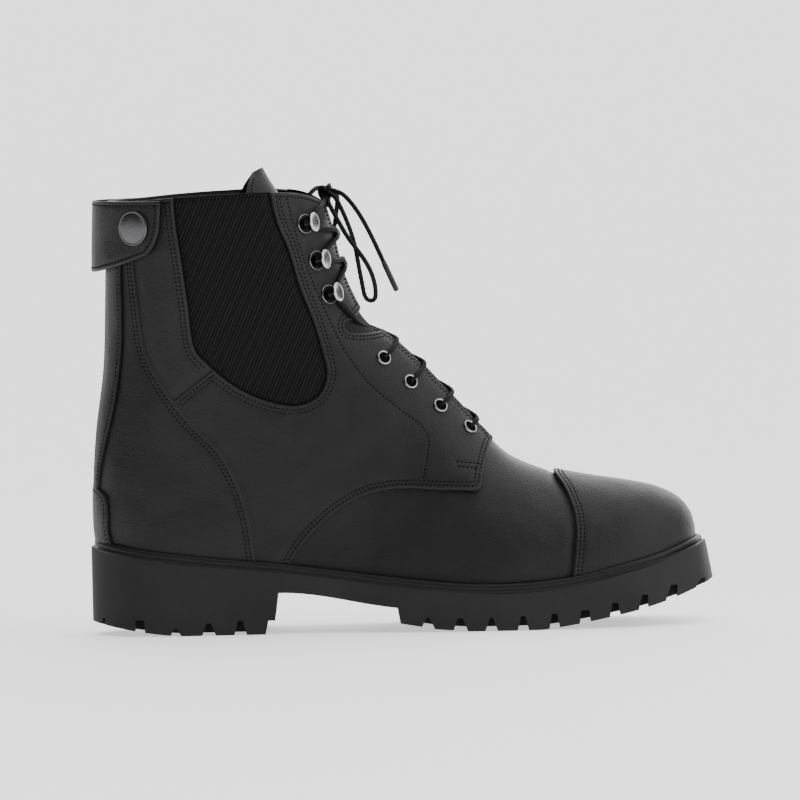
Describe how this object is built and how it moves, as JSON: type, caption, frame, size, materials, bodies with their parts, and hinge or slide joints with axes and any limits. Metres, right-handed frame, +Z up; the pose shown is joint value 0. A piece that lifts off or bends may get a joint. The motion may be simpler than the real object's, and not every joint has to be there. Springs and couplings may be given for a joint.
{
  "type": "lace-up ankle boot",
  "caption": "Black leather lace-up station boot, right foot, with elastic side gores, a rear zip under a snap tab and a lugged rubber sole.",
  "frame": {"origin": "on the ground under the middle of the sole's bounding box", "axes": "+X towards the toe, +Z up, -Y the outer (lateral) side of the right foot"},
  "size_m": [0.3, 0.1045, 0.2236],
  "materials": {
    "leather": "smooth black leather, low sheen",
    "elastic_gore": "ribbed elastic twill",
    "tongue_leather": "soft black leather",
    "lining_leather": "dark lining",
    "sole_rubber": "matt moulded rubber",
    "welt_rubber": "satin moulded rubber",
    "cork": "cork compound",
    "fibre_board": "fibre board",
    "foam_footbed": "textile over foam",
    "spring_steel": "tempered",
    "nickel_ring": "nickel",
    "gunmetal": "black nickel",
    "snap_metal": "polished dark nickel",
    "zip_tape": "woven tape",
    "zip_plastic": "moulded",
    "aglet_plastic": "moulded tip",
    "lace_cord": "waxed round lace"
  },
  "bodies": {
    "boot": {"aglet_lateral": "aglet_plastic", "aglet_medial": "aglet_plastic", "backstay_lateral": "leather", "backstay_medial": "leather", "bottom_filler": "cork", "counter_lateral": "leather", "counter_medial": "leather", "eyelets_lateral": "nickel_ring", "eyelets_medial": "nickel_ring", "facing_stay_lateral": "fibre_board", "facing_stay_medial": "fibre_board", "footbed": "foam_footbed", "gore_lateral": "elastic_gore", "gore_medial": "elastic_gore", "heel_patch": "leather", "heel_stiffener": "fibre_board", "hooks_lateral": "gunmetal", "hooks_medial": "gunmetal", "insole_board": "fibre_board", "lace": "lace_cord", "lace_end_lateral": "lace_cord", "lace_end_medial": "lace_cord", "lace_knot": "lace_cord", "lace_loop_lateral": "lace_cord", "lace_loop_medial": "lace_cord", "lining": "lining_leather", "outsole": "sole_rubber", "quarter_lateral": "leather", "quarter_medial": "leather", "rear_quarter_lateral": "leather", "rear_quarter_medial": "leather", "shank": "spring_steel", "snap_stud": "snap_metal", "tab_root": "leather", "toe_cap": "leather", "toe_stiffener": "fibre_board", "tongue": "tongue_leather", "vamp": "leather", "welt": "welt_rubber", "zip_bottom_stop": "gunmetal", "zip_flap": "lining_leather", "zip_tape_lateral": "zip_tape", "zip_tape_medial": "zip_tape", "zip_teeth_lateral": "zip_plastic", "zip_teeth_medial": "zip_plastic", "zip_top_stops": "gunmetal"},
    "tab": {"rear_tab": "leather", "snap_cap": "snap_metal", "snap_socket": "snap_metal"},
    "slider": {"zip_slider": "gunmetal"},
    "pull": {"zip_pull": "gunmetal"}
  },
  "joints": [
    {"name": "tab_swing", "type": "hinge", "parent": "boot", "child": "tab", "pos_m": [-0.1093, 0.0433, 0.19], "axis": [0, 0, -1], "range_deg": [0, 110]},
    {"name": "zip_slide", "type": "slide", "parent": "boot", "child": "slider", "axis": [-0.0479, 0, -0.9989], "range_m": [0, 0.082]},
    {"name": "pull_flip", "type": "hinge", "parent": "slider", "child": "pull", "pos_m": [-0.1384, 0, 0.19979], "axis": [0, 1, 0], "range_deg": [0, 12]}
  ]
}
